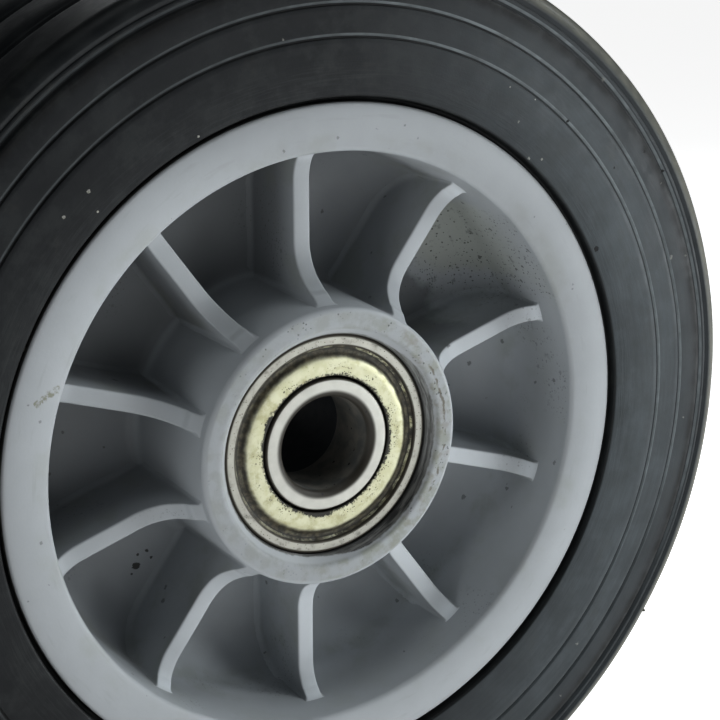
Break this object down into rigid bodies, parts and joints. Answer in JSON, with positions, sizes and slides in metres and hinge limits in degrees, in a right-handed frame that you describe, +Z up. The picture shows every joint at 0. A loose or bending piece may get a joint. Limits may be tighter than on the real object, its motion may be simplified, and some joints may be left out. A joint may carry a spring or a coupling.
{
  "type": "gate wheel",
  "caption": "Rubber-tyred gate wheel with a ribbed grey plastic centre, turning on two shielded ball bearings for a plain axle.",
  "frame": {"origin": "the wheel's centre: on the axle line, midway between the two hub faces", "axes": "+Y along the axle, from the front face to the rear face; +Z up; +X to the right seen from the front. One rib points straight up."},
  "size_m": [0.15, 0.052, 0.15],
  "materials": {
    "tyre": "dusty matte blue-black rubber",
    "wheel_plastic": "moulded light grey plastic, slightly grimy",
    "bearing_steel": "ground bearing steel with light stains",
    "shield_steel": "pressed sheet steel, pale gold",
    "cage_steel": "pressed sheet steel",
    "ball_steel": "polished bearing steel",
    "plated_steel": "zinc-plated steel tube"
  },
  "bodies": {
    "axle_set": {"front_inner_ring": "bearing_steel", "rear_inner_ring": "bearing_steel", "spacer_tube": "plated_steel"},
    "wheel": {"wheel_hub": "wheel_plastic", "tyre": "tyre", "front_outer_ring": "bearing_steel", "front_outer_shield": "shield_steel", "front_inner_shield": "shield_steel", "rear_outer_ring": "bearing_steel", "rear_outer_shield": "shield_steel", "rear_inner_shield": "shield_steel"},
    "front_cage": {"front_cage_outer_half": "cage_steel", "front_cage_inner_half": "cage_steel", "front_cage_rivets": "cage_steel"},
    "front_ball_1": {"front_ball_1": "ball_steel"},
    "front_ball_2": {"front_ball_2": "ball_steel"},
    "front_ball_3": {"front_ball_3": "ball_steel"},
    "front_ball_4": {"front_ball_4": "ball_steel"},
    "front_ball_5": {"front_ball_5": "ball_steel"},
    "front_ball_6": {"front_ball_6": "ball_steel"},
    "front_ball_7": {"front_ball_7": "ball_steel"},
    "front_ball_8": {"front_ball_8": "ball_steel"},
    "rear_cage": {"rear_cage_outer_half": "cage_steel", "rear_cage_inner_half": "cage_steel", "rear_cage_rivets": "cage_steel"},
    "rear_ball_1": {"rear_ball_1": "ball_steel"},
    "rear_ball_2": {"rear_ball_2": "ball_steel"},
    "rear_ball_3": {"rear_ball_3": "ball_steel"},
    "rear_ball_4": {"rear_ball_4": "ball_steel"},
    "rear_ball_5": {"rear_ball_5": "ball_steel"},
    "rear_ball_6": {"rear_ball_6": "ball_steel"},
    "rear_ball_7": {"rear_ball_7": "ball_steel"},
    "rear_ball_8": {"rear_ball_8": "ball_steel"}
  },
  "joints": [
    {"name": "wheel_spin", "type": "hinge", "parent": "axle_set", "child": "wheel", "pos_m": [0, 0, 0], "axis": [0, 1, 0], "continuous": true},
    {"name": "front_cage_spin", "type": "hinge", "parent": "axle_set", "child": "front_cage", "pos_m": [0, -0.0175, 0], "axis": [0, 1, 0], "continuous": true},
    {"name": "front_ball_1_spin", "type": "hinge", "parent": "front_cage", "child": "front_ball_1", "pos_m": [0, -0.0175, 0.0125], "axis": [0, 1, 0], "continuous": true},
    {"name": "front_ball_2_spin", "type": "hinge", "parent": "front_cage", "child": "front_ball_2", "pos_m": [-0.00884, -0.0175, 0.00884], "axis": [0, 1, 0], "continuous": true},
    {"name": "front_ball_3_spin", "type": "hinge", "parent": "front_cage", "child": "front_ball_3", "pos_m": [-0.0125, -0.0175, 0], "axis": [0, 1, 0], "continuous": true},
    {"name": "front_ball_4_spin", "type": "hinge", "parent": "front_cage", "child": "front_ball_4", "pos_m": [-0.00884, -0.0175, -0.00884], "axis": [0, 1, 0], "continuous": true},
    {"name": "front_ball_5_spin", "type": "hinge", "parent": "front_cage", "child": "front_ball_5", "pos_m": [0, -0.0175, -0.0125], "axis": [0, 1, 0], "continuous": true},
    {"name": "front_ball_6_spin", "type": "hinge", "parent": "front_cage", "child": "front_ball_6", "pos_m": [0.00884, -0.0175, -0.00884], "axis": [0, 1, 0], "continuous": true},
    {"name": "front_ball_7_spin", "type": "hinge", "parent": "front_cage", "child": "front_ball_7", "pos_m": [0.0125, -0.0175, 0], "axis": [0, 1, 0], "continuous": true},
    {"name": "front_ball_8_spin", "type": "hinge", "parent": "front_cage", "child": "front_ball_8", "pos_m": [0.00884, -0.0175, 0.00884], "axis": [0, 1, 0], "continuous": true},
    {"name": "rear_cage_spin", "type": "hinge", "parent": "axle_set", "child": "rear_cage", "pos_m": [0, 0.0175, 0], "axis": [0, 1, 0], "continuous": true},
    {"name": "rear_ball_1_spin", "type": "hinge", "parent": "rear_cage", "child": "rear_ball_1", "pos_m": [0, 0.0175, -0.0125], "axis": [0, 1, 0], "continuous": true},
    {"name": "rear_ball_2_spin", "type": "hinge", "parent": "rear_cage", "child": "rear_ball_2", "pos_m": [-0.00884, 0.0175, -0.00884], "axis": [0, 1, 0], "continuous": true},
    {"name": "rear_ball_3_spin", "type": "hinge", "parent": "rear_cage", "child": "rear_ball_3", "pos_m": [-0.0125, 0.0175, 0], "axis": [0, 1, 0], "continuous": true},
    {"name": "rear_ball_4_spin", "type": "hinge", "parent": "rear_cage", "child": "rear_ball_4", "pos_m": [-0.00884, 0.0175, 0.00884], "axis": [0, 1, 0], "continuous": true},
    {"name": "rear_ball_5_spin", "type": "hinge", "parent": "rear_cage", "child": "rear_ball_5", "pos_m": [0, 0.0175, 0.0125], "axis": [0, 1, 0], "continuous": true},
    {"name": "rear_ball_6_spin", "type": "hinge", "parent": "rear_cage", "child": "rear_ball_6", "pos_m": [0.00884, 0.0175, 0.00884], "axis": [0, 1, 0], "continuous": true},
    {"name": "rear_ball_7_spin", "type": "hinge", "parent": "rear_cage", "child": "rear_ball_7", "pos_m": [0.0125, 0.0175, 0], "axis": [0, 1, 0], "continuous": true},
    {"name": "rear_ball_8_spin", "type": "hinge", "parent": "rear_cage", "child": "rear_ball_8", "pos_m": [0.00884, 0.0175, -0.00884], "axis": [0, 1, 0], "continuous": true}
  ],
  "couplings": [
    {"joint": "front_cage_spin", "follows": "wheel_spin", "ratio": 0.61906},
    {"joint": "front_ball_1_spin", "follows": "wheel_spin", "ratio": 1.9807},
    {"joint": "front_ball_2_spin", "follows": "wheel_spin", "ratio": 1.9807},
    {"joint": "front_ball_3_spin", "follows": "wheel_spin", "ratio": 1.9807},
    {"joint": "front_ball_4_spin", "follows": "wheel_spin", "ratio": 1.9807},
    {"joint": "front_ball_5_spin", "follows": "wheel_spin", "ratio": 1.9807},
    {"joint": "front_ball_6_spin", "follows": "wheel_spin", "ratio": 1.9807},
    {"joint": "front_ball_7_spin", "follows": "wheel_spin", "ratio": 1.9807},
    {"joint": "front_ball_8_spin", "follows": "wheel_spin", "ratio": 1.9807},
    {"joint": "rear_cage_spin", "follows": "wheel_spin", "ratio": 0.61906},
    {"joint": "rear_ball_1_spin", "follows": "wheel_spin", "ratio": 1.9807},
    {"joint": "rear_ball_2_spin", "follows": "wheel_spin", "ratio": 1.9807},
    {"joint": "rear_ball_3_spin", "follows": "wheel_spin", "ratio": 1.9807},
    {"joint": "rear_ball_4_spin", "follows": "wheel_spin", "ratio": 1.9807},
    {"joint": "rear_ball_5_spin", "follows": "wheel_spin", "ratio": 1.9807},
    {"joint": "rear_ball_6_spin", "follows": "wheel_spin", "ratio": 1.9807},
    {"joint": "rear_ball_7_spin", "follows": "wheel_spin", "ratio": 1.9807},
    {"joint": "rear_ball_8_spin", "follows": "wheel_spin", "ratio": 1.9807}
  ]
}
